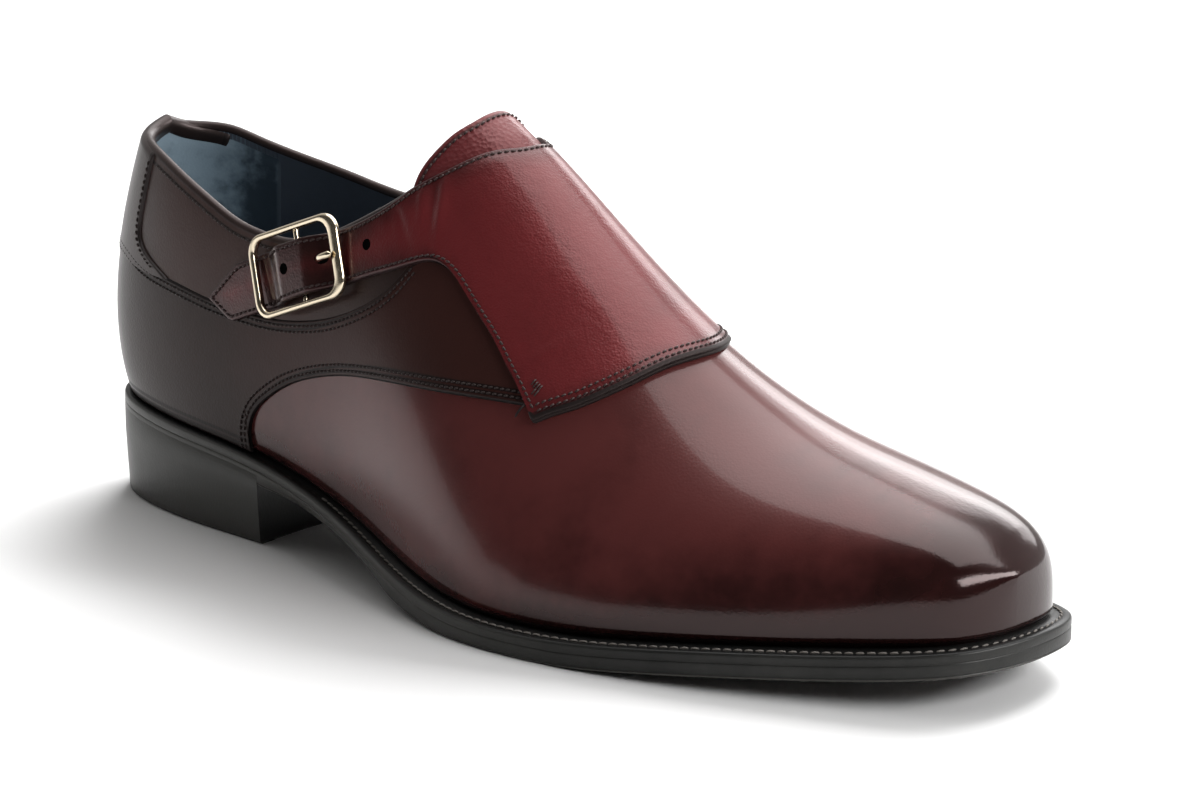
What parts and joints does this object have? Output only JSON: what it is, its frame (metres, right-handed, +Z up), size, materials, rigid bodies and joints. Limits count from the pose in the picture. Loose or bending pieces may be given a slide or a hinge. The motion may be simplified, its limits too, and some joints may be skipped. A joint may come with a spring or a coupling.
{
  "type": "monk strap shoe",
  "caption": "Low leather dress shoe for the right foot, closed by a broad flap over the instep and a pointed strap through a small metal buckle on the outer side.",
  "frame": {"origin": "middle of the bounding box on the ground plane", "axes": "+X to the toe, +Y to the inner side of the foot, +Z up"},
  "size_m": [0.3015, 0.1044, 0.1174],
  "materials": {
    "sole_leather": "black dyed and waxed edge, satin",
    "welt_leather": "black dyed, satin, stitched",
    "heel_leather": "black stacked leather, waxed smooth",
    "insole_leather": "dark blue lining leather, matt",
    "upper_leather": "burgundy calf, hand burnished, polished",
    "tongue_leather": "burgundy calf, satin",
    "strap_leather": "bright burgundy calf, polished",
    "buckle_metal": "pale gold plate, polished"
  },
  "bodies": {
    "root": {"outsole": "sole_leather", "welt": "welt_leather", "heel": "heel_leather", "insole": "insole_leather", "upper": "upper_leather", "tongue": "tongue_leather", "monk_strap": "strap_leather", "buckle_frame": "buckle_metal", "buckle_prong": "buckle_metal"}
  },
  "joints": []
}
